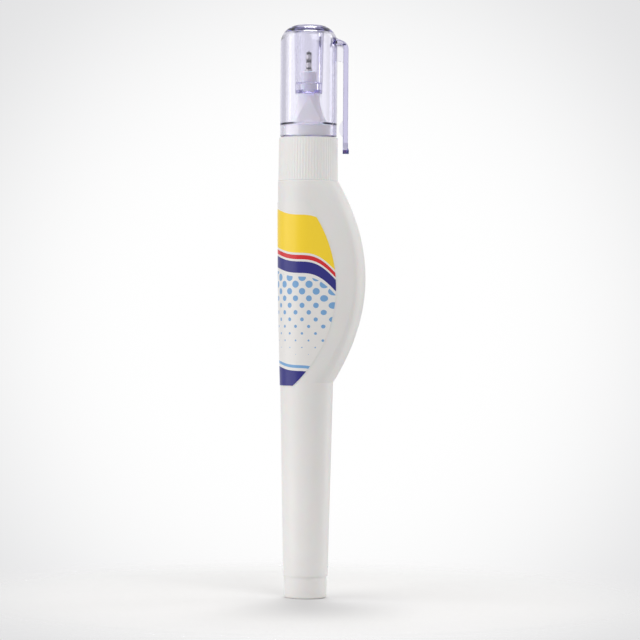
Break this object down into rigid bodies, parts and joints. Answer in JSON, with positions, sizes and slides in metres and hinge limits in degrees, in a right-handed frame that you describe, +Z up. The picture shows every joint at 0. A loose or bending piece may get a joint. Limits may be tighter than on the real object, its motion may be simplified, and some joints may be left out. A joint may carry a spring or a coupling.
{
  "type": "correction pen",
  "caption": "Squeeze correction pen with a one-sided belly, ribbed collar, needle-valve metal tip, loose mixing ball and a clear push-on cap with a pocket clip.",
  "frame": {"origin": "centre of the tail plug's flat foot, on the pen's axis", "axes": "+Z up along the pen from the tail to the cap, +X towards the pocket clip and the squeeze belly, the pen mirrored about the XZ plane"},
  "size_m": [0.0217, 0.015, 0.14],
  "materials": {
    "plug_white": "moulded white polyethylene, satin",
    "bottle_white": "moulded white polyethylene, satin",
    "ball_steel": "polished bearing steel",
    "collar_white": "moulded white polypropylene, fine ribs",
    "nozzle_white": "moulded white polypropylene",
    "nib_metal": "turned nickel silver",
    "needle_steel": "drawn stainless steel",
    "seat_white": "moulded acetal",
    "spring_steel": "drawn spring steel",
    "cap_clear": "clear lavender polystyrene",
    "label_print": null
  },
  "bodies": {
    "pen": {"bottle": "bottle_white", "tail_plug": "plug_white", "grip_collar": "collar_white", "nozzle": "nozzle_white", "nib": "nib_metal", "spring_seat": "seat_white", "valve_spring": "spring_steel", "label_film": "label_print"},
    "cap": {"cap": "cap_clear"},
    "needle": {"valve_needle": "needle_steel"},
    "ball": {"mixing_ball": "ball_steel"}
  },
  "joints": [
    {"name": "cap_pull", "type": "slide", "parent": "pen", "child": "cap", "axis": [0, 0, 1], "range_m": [0, 0.045]},
    {"name": "needle_press", "type": "slide", "parent": "pen", "child": "needle", "axis": [0, 0, -1], "range_m": [0, 0.0005], "stiffness_N_per_m": 400, "springref_m": -0.001, "deforming": ["valve_spring"]},
    {"name": "ball_travel", "type": "slide", "parent": "pen", "child": "ball", "axis": [0, 0, 1], "range_m": [0, 0.0925]}
  ]
}
